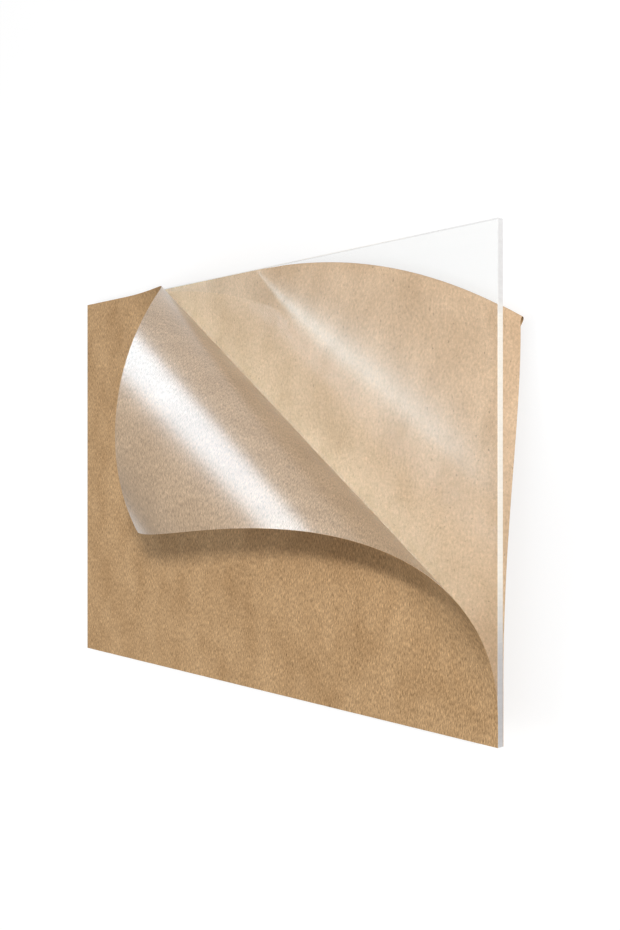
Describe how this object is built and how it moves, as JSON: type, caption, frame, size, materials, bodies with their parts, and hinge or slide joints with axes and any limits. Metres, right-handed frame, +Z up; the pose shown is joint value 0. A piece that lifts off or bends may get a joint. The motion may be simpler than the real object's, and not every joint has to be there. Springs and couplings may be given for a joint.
{
  "type": "clear acrylic sheet",
  "caption": "Flat rectangular sheet of clear acrylic with kraft masking paper on both faces, peeled back from one corner.",
  "frame": {"origin": "on the floor, under the middle of the whole", "axes": "+X along the sheet's length towards the peeled end, +Y across it towards the peeled corner, +Z up"},
  "size_m": [0.4572, 0.3048, 0.1455],
  "materials": {
    "clear_acrylic": "gloss",
    "kraft_paper": "matte"
  },
  "bodies": {
    "root": {"acrylic_sheet": "clear_acrylic", "top_masking_paper": "kraft_paper", "bottom_masking_paper": "kraft_paper"}
  },
  "joints": []
}
